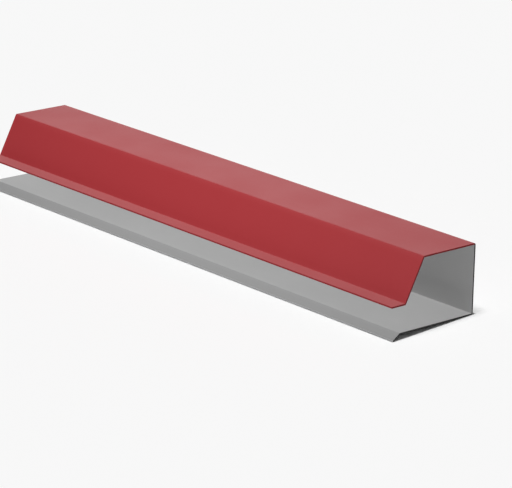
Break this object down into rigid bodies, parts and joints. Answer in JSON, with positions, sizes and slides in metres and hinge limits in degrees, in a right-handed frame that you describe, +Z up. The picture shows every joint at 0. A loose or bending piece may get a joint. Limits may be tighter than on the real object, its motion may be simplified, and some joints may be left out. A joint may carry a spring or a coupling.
{
  "type": "drip edge",
  "caption": "Straight strip of red and grey painted sheet folded lengthwise into an open box section, with a slanted face, kick-out and turned-down lip that throw water clear of a roof edge.",
  "frame": {"origin": "middle of the footprint at floor height, with the strip lying unheld on its back bottom fold and the tip of its lip", "axes": "+X along the folds, -Y towards the open front, +Z up from the floor; the section leans back 3.2 degrees as it rests"},
  "size_m": [1, 0.169, 0.117],
  "materials": {
    "coated_sheet": "satin red coating on the outside of the top flange, face and kick, matt grey coat on the rest of both sides"
  },
  "bodies": {
    "root": {"drip_edge_sheet": "coated_sheet"}
  },
  "joints": []
}
